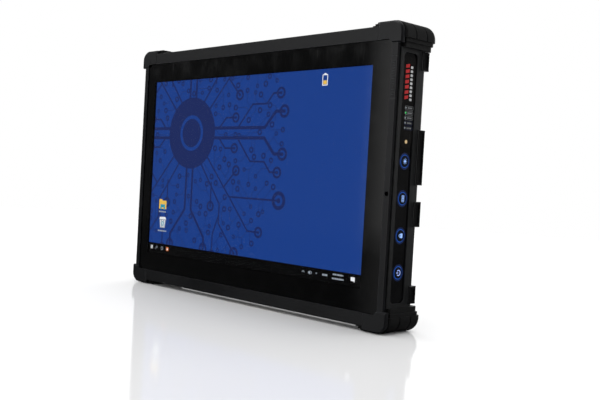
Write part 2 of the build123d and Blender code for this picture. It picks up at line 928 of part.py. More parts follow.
def make_dock_rail():
    """Strip on the back with four lugs that reach round the rear edge."""
    x1 = side_x - rail_inset
    x0 = x1 - rail_strip_w
    x2 = side_x + lug_proud
    lug_middle = (lug_front + lug_back) / 2
    rail = block(x0, x1, back_depth, back_depth + rail_t, lug_spans[0][0], lug_spans[-1][1])
    for span in lug_spans:
        lug = make_lug(span)
        face = lug.faces().sort_by(Axis.X)[-1]
        rail += fillet(face.edges(), lug_round)
        rail -= block(x2 - lug_groove_d, overall_width, lug_middle - lug_groove_w / 2,
                      lug_middle + lug_groove_w / 2, span[0] + lug_groove_in,
                      span[1] - lug_groove_in)
        rail += block(x1 - overshoot, side_x - lug_depth_x + overshoot, back_depth,
                      back_depth + rail_t, span[0], span[1])
    for z in rail_screw_heights:
        rail -= rod_y(screw_shank_r, 0, 2 * back_depth, rail_mid_x, z)
        rail -= rod_y(screw_head_r, back_depth + rail_t - screw_head_h, lug_back, rail_mid_x, z)
    return rail


def rail_screw_holes(side):
    holes = Part()
    for z in rail_screw_heights:
        holes += rod_y(screw_shank_r, back_wall_front - overshoot, back_depth,
                       side * rail_mid_x, z)
    return holes


def make_rail_screws():
    head_d = back_depth + rail_t
    grip = rail_t - screw_head_h + wall
    return group([make_screw(s * rail_mid_x, z, head_d, grip)
                  for s in (-1, 1) for z in rail_screw_heights])


# ---------------------------------------------------------------- port door
def door_opening():
    mid = (door_front + door_back) / 2
    recess = side_slab(door_high_z - door_low_z, door_back - door_front, 2, -overall_width,
                       door_recess - side_x, mid, (door_low_z + door_high_z) / 2)
    z = (door_low_z + door_high_z) / 2
    notch = block(-overall_width, door_recess / 2 - side_x, door_back - overshoot,
                  door_back + finger_notch_w, z - finger_notch_l / 2, z + finger_notch_l / 2)
    return recess + notch


def hinge_x():
    return door_hinge_in - side_x


def hinge_ears(z):
    """Two small ears of the housing that hold the hinge pin."""
    ears = []
    for s in (-1, 1):
        near = z + s * (knuckle_l / 2 + knuckle_play)
        far = near + s * ear_l
        z0 = min(near, far)
        z1 = max(near, far)
        ear = rod_z(door_barrel_r, z0, z1, hinge_x(), door_hinge_depth)
        ear += block(hinge_x() - door_barrel_r + door_skin, door_recess - side_x, door_front,
                     door_hinge_depth, z0, z1)
        ears.append(ear - rod_z(door_pin_r, 0, overall_height, hinge_x(), door_hinge_depth))
    return ears


def make_port_door():
    x0 = door_skin - side_x
    x1 = x0 + door_t
    plate_front = door_hinge_depth + door_plate_gap
    plate_back = door_back - door_edge_gap
    length = door_high_z - door_low_z - 2 * door_edge_gap
    z = (door_low_z + door_high_z) / 2
    door = side_slab(length, plate_back - plate_front, door_r, x0, x1,
                     (plate_front + plate_back) / 2, z)
    for centre in knuckle_centres:
        z0 = centre - knuckle_l / 2
        z1 = centre + knuckle_l / 2
        door += block(x0, hinge_x(), door_hinge_depth, plate_front + overshoot, z0, z1)
        door += rod_z(door_barrel_r, z0, z1, hinge_x(), door_hinge_depth)
        door -= rod_z(door_pin_r + door_pin_play, z0, z1, hinge_x(), door_hinge_depth)
    return door


def make_door_seal():
    x0 = door_skin + door_t - side_x
    x1 = door_recess - side_x
    d0 = door_hinge_depth + door_plate_gap + door_seal_inset
    d1 = door_back - door_edge_gap - door_seal_inset
    length = door_high_z - door_low_z - 2 * (door_edge_gap + door_seal_inset)
    z = (door_low_z + door_high_z) / 2
    ring = side_slab(length, d1 - d0, 2, x0, x1, (d0 + d1) / 2, z)
    inner_l = length - 2 * door_seal_w
    return ring - side_slab(inner_l, d1 - d0 - 2 * door_seal_w, card_r, x0, x1, (d0 + d1) / 2, z)


def make_door_pin():
    reach = knuckle_l / 2 + knuckle_play + ear_l
    return rod_z(door_pin_r, knuckle_centres[0] - reach, knuckle_centres[1] + reach, hinge_x(),
                 door_hinge_depth)


# ---------------------------------------------------------------- ports
def port_openings():
    """Cut-outs in the wall behind the port door."""
    x0 = -side_x - overshoot
    x1 = 2 * wall - side_x
    holes = rod_x(jack_r + port_slack, x0, x1, port_depth, jack_z)
    for z in usb_centres:
        holes += side_slab(usb_l + 2 * port_slack, usb_w + 2 * port_slack, port_r, x0, x1,
                           port_depth, z)
    return holes + side_slab(hdmi_l + 2 * port_slack, hdmi_w + 2 * port_slack, port_r, x0, x1,
                             port_depth, hdmi_z)


def make_socket(length, width, deep, z, tongue_t):
    """Metal shell with a tongue inside, opening towards -X."""
    x0 = port_in - side_x
    shell = side_slab(length, width, shell_r, x0, x0 + deep, port_depth, z)
    shell -= side_slab(length - 2 * usb_shell, width - 2 * usb_shell, shell_r / 2, x0, x0 + deep - wall_t,
                       port_depth, z)
    reach = length / 2 - tongue_in
    tongue = block(x0 + wall_t, x0 + deep, port_depth - tongue_t / 2, port_depth + tongue_t / 2,
                   z - reach, z + reach)
    foot = block(x0 + wall_t, x0 + deep, port_depth + width / 2 - usb_shell / 2, io_board_front(),
                 z - reach, z + reach)
    return shell + tongue + foot


def io_board_front():
    return port_depth + jack_r


def make_usb_ports():
    return group([make_socket(usb_l, usb_w, usb_d, z, usb_tongue_t) for z in usb_centres])


def make_hdmi_port():
    return make_socket(hdmi_l, hdmi_w, hdmi_d, hdmi_z, hdmi_tongue_t)


def make_dc_jack():
    x0 = port_in - side_x
    body = rod_x(jack_r, x0, x0 + jack_d, port_depth, jack_z)
    body += block(x0 + wall_t, x0 + jack_d, port_depth, io_board_front(), jack_z - jack_r,
                  jack_z + jack_r)
    body -= rod_x(jack_hole_r, x0, x0 + jack_d - 2, port_depth, jack_z)
    return body + rod_x(jack_pin_r, x0 + wall_t, x0 + jack_d - wall_t, port_depth, jack_z)


def make_io_board():
    x0 = port_in + wall_t - side_x
    d0 = io_board_front()
    return block(x0, x0 + io_board_w, d0, d0 + io_board_t, usb_centres[0] - usb_l / 2 - io_margin,
                 jack_z + jack_r + io_margin)


# ---------------------------------------------------------------- docking connector
def dock_opening():
    return block(-dock_w / 2, dock_w / 2, dock_depth - dock_l / 2, dock_depth + dock_l / 2,
                 bottom_z - overshoot, bottom_z + wall + overshoot)


def dock_pin_spots():
    return [((i - (dock_count - 1) / 2) * dock_pitch, dock_depth + s * dock_row_gap / 2)
            for i in range(dock_count) for s in (-1, 1)]


def dock_pins(low):
    pins = []
    for x, d in dock_pin_spots():
        pins.append(block(x - dock_pin_w / 2, x + dock_pin_w / 2, d - dock_pin_l / 2,
                          d + dock_pin_l / 2, low, bottom_z + dock_in + dock_pin_h))
    return pins


def make_dock_connector():
    z0 = bottom_z + dock_in
    body = block(-dock_w / 2, dock_w / 2, dock_depth - dock_l / 2, dock_depth + dock_l / 2,
                 z0, z0 + dock_h)
    body += block(-dock_w / 2 - dock_flange, dock_w / 2 + dock_flange,
                  dock_depth - dock_l / 2 - wall_t, dock_depth + dock_l / 2 + wall_t,
                  bottom_z + wall, z0 + dock_h)
    for pin in dock_pins(z0):
        body -= pin
    return body


def make_dock_contacts():
    return group(dock_pins(bottom_z + dock_in / 2))


# ---------------------------------------------------------------- camera and speakers
def camera_openings():
    holes = rod_y(camera_r, back_depth - camera_window_t, back_depth + overshoot, camera_x, camera_z)
    holes += rod_y(camera_r - camera_ledge, back_wall_front - overshoot, back_depth + overshoot, camera_x,
                   camera_z)
    return holes + rod_y(flash_r, back_wall_front - overshoot, back_depth + overshoot,
                         camera_x - flash_offset,
                         camera_z)


def make_camera_window():
    return rod_y(camera_r, back_depth - camera_window_t, back_depth, camera_x, camera_z)


def make_camera_module():
    body = slab(camera_body, camera_body, card_r, back_wall_front - camera_body_t, back_wall_front,
                x=camera_x, z=camera_z)
    return body + rod_y(lens_r, back_wall_front, back_wall_front + lens_l, camera_x, camera_z)


def make_flash_window():
    return rod_y(flash_r, back_wall_front, back_depth, camera_x - flash_offset, camera_z)


def speaker_slots(x):
    slots = Part()
    for i in range(slot_count):
        z = speaker_z + (i - (slot_count - 1) / 2) * slot_pitch
        slots += slab(slot_l, slot_w, slot_w / 2 - tiny, back_wall_front - overshoot, back_depth + overshoot,
                      x=x, z=z)
    return slots


def make_speakers():
    return group([slab(speaker_w, speaker_h, 2, back_wall_front - speaker_t, back_wall_front,
                       x=s * speaker_x, z=speaker_z) for s in (-1, 1)])


# ---------------------------------------------------------------- write the nodes
os.makedirs("parts", exist_ok=True)

save("front_frame", make_front_frame())
save("microphone", make_microphone())
save("touch_glass", make_touch_glass())
save("display_gasket", make_display_gasket())
save("lcd_panel", make_lcd_panel())
save("backlight_tray", make_backlight_tray())
save("housing_seal", make_housing_seal())
save("chassis_plate", make_chassis())
save("main_board", make_main_board())
save("board_screws", make_board_screws())
save("processor", make_processor())
save("thermal_pad", make_thermal_pad())
save("heat_spreader", make_heat_spreader())
save("memory_module", make_module(memory_w, memory_h, memory_x))
save("storage_module", make_module(storage_w, storage_l, storage_x))
save("wireless_module", make_module(wireless_w, wireless_l, wireless_x))
save("antennas", make_antennas())
save("rear_housing", make_rear_housing())
save("housing_screws", make_housing_screws())
save("strap_inserts", make_strap_inserts())
corner_names = ("top_right", "top_left", "bottom_right", "bottom_left")
for corner_name, bumper in zip(corner_names, make_bumpers()):
    save("bumper_" + corner_name, bumper)
save("bumper_screws", make_bumper_screws())
save("side_panel_frame", make_panel_frame())
save("side_panel_window", make_panel_window())
save("status_label", make_status_label())
save("button_light_rings", make_light_rings())
for button_name, button_z in zip(button_names, button_heights):
    save(button_name, make_button(button_z))
save("status_lights", make_status_lights())
save("light_sensor", make_light_sensor())
save("keypad_board", make_keypad_board())
save("dome_switches", make_dome_switches())
save("battery_tray", make_battery_tray())
save("battery_pack", make_battery_pack())
save("battery_contacts", make_battery_contacts())
save("battery_latch_right", make_latch(latch_x))
save("battery_latch_left", make_latch(-latch_x))
save("dock_rail_right", make_dock_rail())
save("dock_rail_left", flip_x(make_dock_rail()))
save("rail_screws", make_rail_screws())
save("port_door", make_port_door())
save("port_door_seal", make_door_seal())
save("port_door_pin", make_door_pin())
save("usb_ports", make_usb_ports())
save("hdmi_port", make_hdmi_port())
save("dc_jack", make_dc_jack())
save("io_board", make_io_board())
save("docking_connector", make_dock_connector())
save("docking_contacts", make_dock_contacts())
save("camera_window", make_camera_window())
save("camera_module", make_camera_module())
save("flash_window", make_flash_window())
save("speakers", make_speakers())
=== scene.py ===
import bmesh
import bpy
import math
import random
from mathutils import Matrix, Vector


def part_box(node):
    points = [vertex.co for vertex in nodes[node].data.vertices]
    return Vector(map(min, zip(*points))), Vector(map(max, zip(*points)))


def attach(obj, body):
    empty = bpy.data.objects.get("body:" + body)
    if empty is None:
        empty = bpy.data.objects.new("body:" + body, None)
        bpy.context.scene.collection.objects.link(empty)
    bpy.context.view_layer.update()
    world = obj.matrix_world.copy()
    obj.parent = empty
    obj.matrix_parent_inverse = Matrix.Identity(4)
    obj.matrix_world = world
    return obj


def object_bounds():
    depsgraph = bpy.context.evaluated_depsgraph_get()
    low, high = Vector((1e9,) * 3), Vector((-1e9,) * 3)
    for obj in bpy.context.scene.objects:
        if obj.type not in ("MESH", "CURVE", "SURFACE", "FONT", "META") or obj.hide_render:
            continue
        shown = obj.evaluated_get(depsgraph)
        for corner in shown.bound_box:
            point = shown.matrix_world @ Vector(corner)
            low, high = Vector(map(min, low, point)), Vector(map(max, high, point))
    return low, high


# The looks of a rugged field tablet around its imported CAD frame. Metres, the same frame as the CAD:
# +X towards the button panel, +Y from the screen towards the back, +Z up.

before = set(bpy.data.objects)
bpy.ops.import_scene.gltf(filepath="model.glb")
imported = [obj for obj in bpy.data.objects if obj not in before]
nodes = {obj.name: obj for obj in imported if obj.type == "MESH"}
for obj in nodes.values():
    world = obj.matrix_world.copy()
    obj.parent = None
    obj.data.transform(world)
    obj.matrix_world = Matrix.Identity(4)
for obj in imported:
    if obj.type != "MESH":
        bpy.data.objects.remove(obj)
cad_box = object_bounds()

MM = 0.001
SEED = 7

# ------------------------------------------------------------------ places taken from the frame
low, high = cad_box
centre = (low + high) / 2
glass_lo, glass_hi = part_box("touch_glass")
lcd_lo, lcd_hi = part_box("lcd_panel")
label_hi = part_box("status_label")[1]
window_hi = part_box("side_panel_window")[1]

LCD_BORDER = 6.5 * MM
GLASS_CORNER = 2.85 * MM
PRINT_BACK = 0.3 * MM              # glass print stops short of the picture by this much
screen_x0, screen_x1 = lcd_lo.x + LCD_BORDER, lcd_hi.x - LCD_BORDER
screen_z0, screen_z1 = lcd_lo.z + LCD_BORDER, lcd_hi.z - LCD_BORDER
screen_y = lcd_lo.y


# ------------------------------------------------------------------ material helpers
# What Shader.spread is given: low in, high in, low out, high out.
EDGE_MASK = (0.8, 0.995, 1.0, 0.0)
WEAR_AND_HIGHLIGHT_SPOTS = (0.42, 0.62, 0.15, 1.0)
# Spots on the paler edges, which are partly wear and partly a painted edge highlight.
DUST_PATCHES = (0.35, 0.7, 0.0, 0.6)
GRAIN_GLOSS = (0.3, 0.7, -0.03, 0.03)
HAIRLINES = (0.62, 0.7, 0.0, 0.08)
SMUDGE_TINT = (0.45, 0.75, 0.0, 0.7)
BRUSH_TINT = (0.35, 0.65, 0.0, 0.5)
TRACK_MASK = (0.12, 0.2, 1.0, 0.0)

# Sizes of the grains and the depths of the reliefs.
PATCH_SIZE = 35.0 * MM
SCUFF_AND_HIGHLIGHT_SIZE = 4.0 * MM
EDGE_RADIUS = 0.6 * MM
SMUDGE_SIZE = 12.0 * MM
HAIR_SIZE = 0.6 * MM
PEEL_SIZE = 3.0 * MM
BRUSH_SIZE = 2.0 * MM
BRUSH_DEPTH = 0.01 * MM
TRACK_SIZE = 3.0 * MM
TRACK_DEPTH = 0.03 * MM
SPECKLE_SIZE = 0.4 * MM
GLASS_IOR = 1.35


class Shader:
    """A material under construction: one Principled shader and the nodes that feed it."""

    def __init__(self, name, colour, roughness, metallic=0.0, specular=0.5):
        self.material = bpy.data.materials.new(name)
        self.material.use_nodes = True
        self.tree = self.material.node_tree
        self.shader = self.tree.nodes["Principled BSDF"]
        self.put("Base Color", (*colour, 1.0))
        self.put("Roughness", roughness)
        self.put("Metallic", metallic)
        self.put("Specular IOR Level", specular)
        coordinates = self.tree.nodes.new("ShaderNodeTexCoord")
        self.place = coordinates.outputs["Object"]

    def put(self, socket, value):
        self.shader.inputs[socket].default_value = value

    def link(self, output, socket):
        self.tree.links.new(output, socket)

    def stretched(self, scale):
        """Object coordinates multiplied by one factor for each axis."""
        mapping = self.tree.nodes.new("ShaderNodeMapping")
        mapping.inputs["Scale"].default_value = scale
        self.link(self.place, mapping.inputs["Vector"])
        return mapping.outputs["Vector"]

    def noise(self, size, detail=3.0, rough=0.55, stretch=None):
        """Noise whose grains are about this large, in metres."""
        node = self.tree.nodes.new("ShaderNodeTexNoise")
        node.inputs["Scale"].default_value = 1.0 / size
        node.inputs["Detail"].default_value = detail
        node.inputs["Roughness"].default_value = rough
        self.link(self.stretched(stretch) if stretch else self.place, node.inputs["Vector"])
        return node.outputs["Fac"]

    def cells(self, size, stretch=None):
        """Distance to the nearest of many scattered points."""
        node = self.tree.nodes.new("ShaderNodeTexVoronoi")
        node.inputs["Scale"].default_value = 1.0 / size
        self.link(self.stretched(stretch) if stretch else self.place, node.inputs["Vector"])
        return node.outputs["Distance"]

    def spread(self, value, low_in, high_in, low_out, high_out):
        """Remaps a value from one range to another, held at both ends."""
        node = self.tree.nodes.new("ShaderNodeMapRange")
        node.inputs["From Min"].default_value = low_in
        node.inputs["From Max"].default_value = high_in
        node.inputs["To Min"].default_value = low_out
        node.inputs["To Max"].default_value = high_out
        self.link(value, node.inputs["Value"])
        return node.outputs["Result"]

    def math(self, operation, first, second):
        node = self.tree.nodes.new("ShaderNodeMath")
        node.operation = operation
        for socket, value in zip(node.inputs, (first, second)):
            if isinstance(value, (int, float)):
                socket.default_value = value
            else:
                self.link(value, socket)
        return node.outputs["Value"]

    def blend(self, factor, first, second):
        """Mixes two colours, each a tuple or a socket."""
        node = self.tree.nodes.new("ShaderNodeMix")
        node.data_type = "RGBA"
        self.link(factor, node.inputs["Factor"])
        for socket, value in ((node.inputs["A"], first), (node.inputs["B"], second)):
            if isinstance(value, tuple):
                socket.default_value = (*value, 1.0)
            else:
                self.link(value, socket)
        return node.outputs["Result"]

    def edges(self, radius):
        """Mask that is 1 on edges sharper than this radius and 0 on flat faces."""
        bevel = self.tree.nodes.new("ShaderNodeBevel")
        bevel.samples = 4
        bevel.inputs["Radius"].default_value = radius
        geometry = self.tree.nodes.new("ShaderNodeNewGeometry")
        dot = self.tree.nodes.new("ShaderNodeVectorMath")
        dot.operation = "DOT_PRODUCT"
        self.link(bevel.outputs["Normal"], dot.inputs[0])
        self.link(geometry.outputs["Normal"], dot.inputs[1])
        return self.spread(dot.outputs["Value"], *EDGE_MASK)

    def colour(self, socket):
        self.link(socket, self.shader.inputs["Base Color"])

    def roughness(self, socket):
        self.link(socket, self.shader.inputs["Roughness"])

    def relief(self, height, distance, strength=1.0):
        bump = self.tree.nodes.new("ShaderNodeBump")
        bump.inputs["Strength"].default_value = strength
        bump.inputs["Distance"].default_value = distance
        self.link(height, bump.inputs["Height"])
        self.link(bump.outputs["Normal"], self.shader.inputs["Normal"])

    def glow(self, colour, strength):
        self.put("Emission Color", (*colour, 1.0))
        self.put("Emission Strength", strength)


def moulded(name, colour, roughness, grain, worn_and_highlight_colour, specular=0.35, depth=0.00004):
    """Textured moulding or coating: fine grain, patches of polish, paler edges that are partly wear
    and partly a painted edge highlight, and dust.
    """
    made = Shader(name, colour, roughness, specular=specular)
    fine = made.noise(grain, detail=2.0)
    patches = made.noise(PATCH_SIZE, detail=4.0)
    # Paler edges: partly worn, partly a painted edge highlight, broken into spots by noise.
    edge = made.edges(EDGE_RADIUS)
    scuff_and_highlight_noise = made.noise(SCUFF_AND_HIGHLIGHT_SIZE, detail=5.0)
    wear_and_edge_highlight = made.math("MULTIPLY", edge, made.spread(scuff_and_highlight_noise, *WEAR_AND_HIGHLIGHT_SPOTS))
    dusty = tuple(c * 1.35 + 0.0015 for c in colour)
    tinted = made.blend(made.spread(patches, *DUST_PATCHES), colour, dusty)
    made.colour(made.blend(wear_and_edge_highlight, tinted, worn_and_highlight_colour))
    gloss = made.spread(patches, 0.3, 0.7, roughness - 0.07, roughness + 0.08)
    made.roughness(made.math("ADD", gloss, made.spread(fine, *GRAIN_GLOSS)))
    made.relief(fine, depth)
    return made.material


def polished(name, colour, roughness, specular=0.5, peel=0.000006):
    """Gloss black plastic: faint orange peel, smudges and hairline scratches."""
    made = Shader(name, colour, roughness, specular=specular)
    smudge = made.noise(SMUDGE_SIZE, detail=4.0)
    hair = made.noise(HAIR_SIZE, detail=2.0, stretch=(1.0, 1.0, 0.04))
    made.roughness(made.math("ADD", made.spread(smudge, 0.4, 0.7, roughness, roughness + 0.09),
                             made.spread(hair, *HAIRLINES)))
    tint = tuple(c * 1.6 + 0.001 for c in colour)
    made.colour(made.blend(made.spread(smudge, *SMUDGE_TINT), colour, tint))
    if peel:
        made.relief(made.noise(PEEL_SIZE, detail=1.0), peel)
    return made.material


def metal(name, colour, roughness, stretch=(1.0, 1.0, 12.0)):
    """Brushed or turned metal."""
    made = Shader(name, colour, roughness, metallic=1.0)
    brush = made.noise(BRUSH_SIZE, detail=4.0, stretch=stretch)
    made.roughness(made.spread(brush, 0.3, 0.7, roughness - 0.08, roughness + 0.12))
    dark = tuple(c * 0.55 for c in colour)
    made.colour(made.blend(made.spread(brush, *BRUSH_TINT), colour, dark))
    made.relief(brush, BRUSH_DEPTH)
    return made.material


def circuit(name, colour):
    """Printed circuit board with paler tracks under the lacquer."""
    made = Shader(name, colour, 0.4)
    tracks = made.cells(TRACK_SIZE, stretch=(1.0, 1.0, 0.3))
    pale = tuple(c * 2.0 + 0.02 for c in colour)
    made.colour(made.blend(made.spread(tracks, *TRACK_MASK), colour, pale))
    made.relief(tracks, TRACK_DEPTH)
    return made.material


def lit(name, colour, strength, speckle=0.0, specular=0.5):
    """Light coming through a printed or moulded window; on the light sensor, a painted glow."""
    made = Shader(name, tuple(c * 0.2 for c in colour), 0.35, specular=specular)
    made.glow(colour, strength)
    if speckle:
        made.relief(made.noise(SPECKLE_SIZE, detail=1.0), speckle)
    return made.material


def make_glass():
    """Clear glass, slightly soft, that lets the screen show through."""
    made = Shader("cover_glass", (1.0, 1.0, 1.0), 0.05, specular=0.5)
    made.put("Transmission Weight", 1.0)
    made.put("IOR", GLASS_IOR)
    return made.material


BLACK = (0.0, 0.0, 0.0)

coating = moulded("coated_frame", (0.0046, 0.0051, 0.0066), 0.36, 0.0004, (0.05, 0.053, 0.06))
housing = moulded("housing_plastic", (0.0055, 0.006, 0.0068), 0.5, 0.0005, (0.04, 0.042, 0.046))
rubber = moulded("bumper_rubber", (0.0032, 0.0034, 0.0037), 0.62, 0.0007, (0.02, 0.021, 0.022),
                 specular=0.25, depth=0.00007)
seal = moulded("seal_rubber", (0.005, 0.005, 0.005), 0.7, 0.0006, (0.015, 0.015, 0.015),
               specular=0.2)
latch = moulded("latch_plastic", (0.03, 0.032, 0.036), 0.45, 0.0004, (0.09, 0.09, 0.095))
pack = moulded("battery_case", (0.010, 0.0105, 0.0115), 0.48, 0.0006, (0.045, 0.047, 0.05))
door = moulded("door_rubber", (0.007, 0.0075, 0.008), 0.6, 0.0006, (0.03, 0.031, 0.033),
               specular=0.25)
gloss = polished("panel_black", (0.0012, 0.0012, 0.0016), 0.09)
glass_gloss = polished("glass_print", (0.0010, 0.0011, 0.0013), 0.05, specular=0.4, peel=None)
film = polished("label_black", (0.0022, 0.0016, 0.0014), 0.16)
rail = polished("rail_black", (0.0016, 0.0016, 0.002), 0.14, specular=0.3)
cap = polished("button_cap", (0.0012, 0.0014, 0.0035), 0.2)
mask = polished("black_mask", (0.0012, 0.0013, 0.0014), 0.5, specular=0.0, peel=None)
glass = make_glass()
steel = metal("screw_steel", (0.16, 0.16, 0.17), 0.35)
sheet = metal("sheet_metal", (0.6, 0.6, 0.62), 0.3)
magnesium = metal("magnesium", (0.42, 0.43, 0.45), 0.5, stretch=(1.0, 1.0, 1.0))
brass = metal("brass", (0.78, 0.56, 0.24), 0.3)
gold = metal("gold", (0.95, 0.68, 0.28), 0.2)
copper = metal("antenna_film", (0.72, 0.38, 0.2), 0.4)
board = circuit("circuit_board", (0.01, 0.09, 0.04))
keypad = circuit("keypad_board", (0.004, 0.004, 0.005))
ring_light = lit("ring_light", (0.006, 0.075, 0.42), 0.75, speckle=0.00002)
guide = lit("light_guide", (0.5, 0.56, 0.6), 0.35, speckle=0.00001)
# The light sensor is no lamp: its amber glow is painted.
sensor_painted_glow = lit("sensor_lens", (0.85, 0.62, 0.32), 0.55, speckle=0.00001)
backlight = lit("backlight", (0.8, 0.85, 0.9), 0.05)

MATERIALS = {
    coating: ["front_frame"],
    housing: ["rear_housing", "side_panel_frame", "battery_tray"],
    rubber: ["bumper_top_right", "bumper_top_left", "bumper_bottom_right", "bumper_bottom_left"],
    seal: ["housing_seal", "port_door_seal", "thermal_pad"],
    latch: ["battery_latch_left", "battery_latch_right"],
    pack: ["battery_pack"],
    door: ["port_door"],
    gloss: ["side_panel_window"],
    film: ["status_label"],
    rail: ["dock_rail_right", "dock_rail_left"],
    cap: ["display_button", "keyboard_button", "lock_button", "power_button"],
    mask: ["display_gasket", "lcd_panel", "processor", "speakers", "dc_jack",
           "docking_connector", "microphone"],
    glass: ["touch_glass", "camera_window"],
    steel: ["board_screws", "housing_screws", "bumper_screws", "rail_screws", "port_door_pin",
            "dome_switches"],
    sheet: ["usb_ports", "hdmi_port", "camera_module"],
    magnesium: ["chassis_plate", "heat_spreader"],
    brass: ["strap_inserts"],
    gold: ["battery_contacts", "docking_contacts"],
    copper: ["antennas"],
    board: ["main_board", "memory_module", "storage_module", "wireless_module", "io_board"],
    keypad: ["keypad_board"],
    ring_light: ["button_light_rings"],
    guide: ["status_lights", "flash_window"],
    sensor_painted_glow: ["light_sensor"],
    backlight: ["backlight_tray"],
}

for material, names in MATERIALS.items():
    for name in names:
        for slot in nodes[name].material_slots:
            slot.material = material


# ------------------------------------------------------------------ flat artwork
def prism_faces(bm, points, low_w, high_w, place):
    """Closed prism over an outline of (u, v) points, between two levels."""
    ends = [[bm.verts.new(place(u, v, w)) for u, v in points] for w in (low_w, high_w)]
    bm.faces.new(ends[0][::-1])
    bm.faces.new(ends[1])
    count = len(points)
    for i in range(count):
        j = (i + 1) % count
        bm.faces.new((ends[0][i], ends[0][j], ends[1][j], ends[1][i]))


def ring_faces(bm, outer, inner, low_w, high_w, place):
    """Closed ring between two outlines with the same number of points."""
    loops = [[bm.verts.new(place(u, v, w)) for u, v in line]
             for line in (outer, inner) for w in (low_w, high_w)]
    out_low, out_high, in_low, in_high = loops
    count = len(outer)
    for i in range(count):
        j = (i + 1) % count
        bm.faces.new((out_low[i], out_low[j], out_high[j], out_high[i]))
        bm.faces.new((in_low[j], in_low[i], in_high[i], in_high[j]))
        bm.faces.new((out_high[i], out_high[j], in_high[j], in_high[i]))
        bm.faces.new((out_low[j], out_low[i], in_low[i], in_low[j]))


def circle(u, v, radius, count=32, turn=0.0, sweep=math.tau):
    """Points round a circle."""
    return [(u + radius * math.cos(turn + sweep * i / count),
             v + radius * math.sin(turn + sweep * i / count)) for i in range(count)]


def rounded(u, v, width, height, radius, steps=6):
    """Outline of a rounded rectangle about a centre."""
    points = []
    for k, (su, sv) in enumerate(((1, 1), (-1, 1), (-1, -1), (1, -1))):
        cu = u + su * (width / 2 - radius)
        cv = v + sv * (height / 2 - radius)
        for i in range(steps + 1):
            a = math.pi / 2 * (k + i / steps)
            points.append((cu + radius * math.cos(a), cv + radius * math.sin(a)))
    return points


def stroke(points, width):
    """Outline of an open line of constant width with mitred corners and square ends."""
    left, right = [], []
    for i, point in enumerate(points):
        here = Vector(point)
        ahead = Vector(points[min(i + 1, len(points) - 1)]) - here
        behind = here - Vector(points[max(i - 1, 0)])
        ahead = ahead.normalized() if ahead.length else behind.normalized()
        behind = behind.normalized() if behind.length else ahead
        middle = (ahead + behind).normalized()
        across = Vector((-middle.y, middle.x))
        reach = width / 2 / max(0.4, across.dot(Vector((-ahead.y, ahead.x))))
        left.append(tuple(here + across * reach))
        right.append(tuple(here - across * reach))
    return left + right[::-1]


class Art:
    """A thin printed or lit layer, drawn in two directions of a face."""

    def __init__(self, name, place, low_w, high_w):
        self.bm = bmesh.new()
        self.name = name
        self.place = place
        self.low_w = low_w
        self.high_w = high_w

    def fill(self, points):
        prism_faces(self.bm, points, self.low_w, self.high_w, self.place)

    def ring(self, outer, inner):
        ring_faces(self.bm, outer, inner, self.low_w, self.high_w, self.place)

    def line(self, points, width):
        self.fill(stroke(points, width))

    def finish(self, material, body, slot):
        mesh = bpy.data.meshes.new(self.name)
        bmesh.ops.recalc_face_normals(self.bm, faces=self.bm.faces)
        self.bm.to_mesh(mesh)
        self.bm.free()
        piece = bpy.data.objects.new(self.name, mesh)
        bpy.context.scene.collection.objects.link(piece)
        mesh.materials.append(material)
        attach(piece, body)


def on_screen(u, v, w):
    """Screen layers: u to the right and v up from the lower left corner, w towards the viewer."""
    return Vector((screen_x0 + u, screen_y - w, screen_z0 + v))


def on_side(u, v, w):
    """Button panel layers: u towards the back, v up, w outwards from the panel window."""
    return Vector((window_hi.x + w, u, v))


# ------------------------------------------------------------------ the screen picture
SCREEN_W = screen_x1 - screen_x0
SCREEN_H = screen_z1 - screen_z0
LAYER = 0.015 * MM
BAR_H = 7.8 * MM               # task bar along the lower edge
HUB = (46.5 * MM, 95.0 * MM)   # middle of the circuit pattern
HUB_R = 27.0 * MM
WORD_FILL = 0.78               # share of a block's pitch that its print covers

screen_blue = lit("screen_blue", (0.0095, 0.045, 0.235), 1.0, specular=0.0)
screen_navy = lit("screen_navy", (0.0105, 0.0215, 0.107), 1.0, specular=0.0)
screen_faint = lit("screen_faint", (0.0095, 0.0265, 0.137), 1.0, specular=0.0)
screen_black = lit("screen_black", (0.0006, 0.0006, 0.0008), 1.0, specular=0.0)
screen_white = lit("screen_white", (0.8, 0.82, 0.85), 1.0, specular=0.0)
screen_grey = lit("screen_grey", (0.32, 0.36, 0.42), 1.0, specular=0.0)
screen_yellow = lit("screen_yellow", (0.8, 0.5, 0.09), 1.0, specular=0.0)
screen_orange = lit("screen_orange", (0.6, 0.16, 0.04), 1.0, specular=0.0)
screen_teal = lit("screen_teal", (0.03, 0.3, 0.42), 1.0, specular=0.0)


def screen_layer(name, level):
    return Art(name, on_screen, level * LAYER, (level + 1) * LAYER)


def rect(art, u0, u1, v0, v1):
    art.fill([(u0, v0), (u1, v0), (u1, v1), (u0, v1)])


def cut_to_screen(points):
    """The part of an outline that lies on the screen."""
    for axis, bound, sign in ((0, 0.0, 1), (0, SCREEN_W, -1), (1, 0.0, 1), (1, SCREEN_H, -1)):
        kept = []
        for i, here in enumerate(points):
            before = points[i - 1]
            inside = sign * (here[axis] - bound) >= 0
            was_inside = sign * (before[axis] - bound) >= 0
            if inside != was_inside:
                t = (bound - before[axis]) / (here[axis] - before[axis])
                kept.append(tuple(b + t * (h - b) for b, h in zip(before, here)))
            if inside:
                kept.append(here)
        points = kept
        if len(points) < 3:
            return []
    return points


def on_display(u, v, margin):
    return -margin < u < SCREEN_W + margin and -margin < v < SCREEN_H + margin


def screen_line(art, points, width):
    """One outline for each leg, cut off at the edges of the screen."""
    outline = cut_to_screen(stroke(points, width))
    if outline:
        art.fill(outline)


